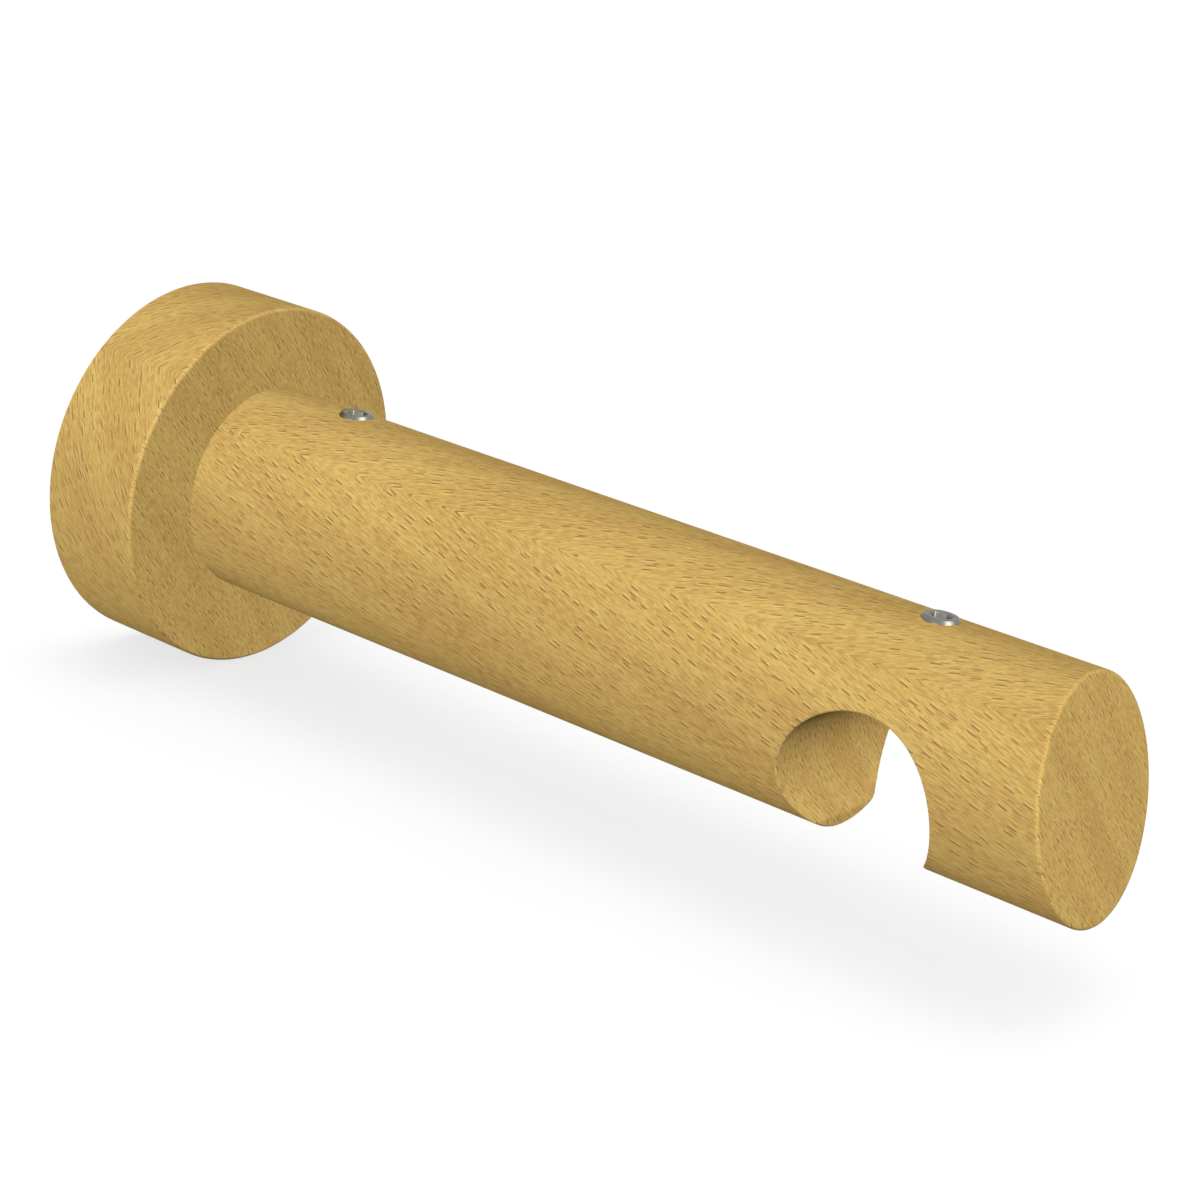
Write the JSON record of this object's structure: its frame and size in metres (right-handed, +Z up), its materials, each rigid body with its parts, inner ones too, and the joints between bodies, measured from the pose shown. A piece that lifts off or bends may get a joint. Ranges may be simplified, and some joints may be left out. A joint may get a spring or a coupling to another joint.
{
  "type": "curtain pole bracket",
  "caption": "Turned wooden curtain pole bracket: a round arm on a wall rose, with a round pole seat open at the bottom, socket set screws and a hidden steel wall plate.",
  "frame": {"origin": "centre of the rose's back face, on the wall plane", "axes": "+Y into the wall, so the arm runs out along -Y; the pole lies along X; +Z up"},
  "size_m": [0.064, 0.1867, 0.064],
  "materials": {
    "beech": "satin clear lacquer over honey-coloured beech with short dark flecks",
    "zinc_plated_steel": "bright zinc plating",
    "nickel_plated_steel": "nickel plating"
  },
  "bodies": {
    "bracket": {"wall_rose": "beech", "arm": "beech", "wall_plate": "zinc_plated_steel", "wall_peg": "zinc_plated_steel"},
    "arm_screw": {"arm_set_screw": "nickel_plated_steel"},
    "pole_screw": {"pole_set_screw": "nickel_plated_steel"}
  },
  "joints": [
    {"name": "arm_screw_travel", "type": "slide", "parent": "bracket", "child": "arm_screw", "axis": [0, 0, -1], "range_m": [-0.004, 0.0023]},
    {"name": "pole_screw_travel", "type": "slide", "parent": "bracket", "child": "pole_screw", "axis": [0, 0, -1], "range_m": [-0.004, 0.0032]}
  ]
}
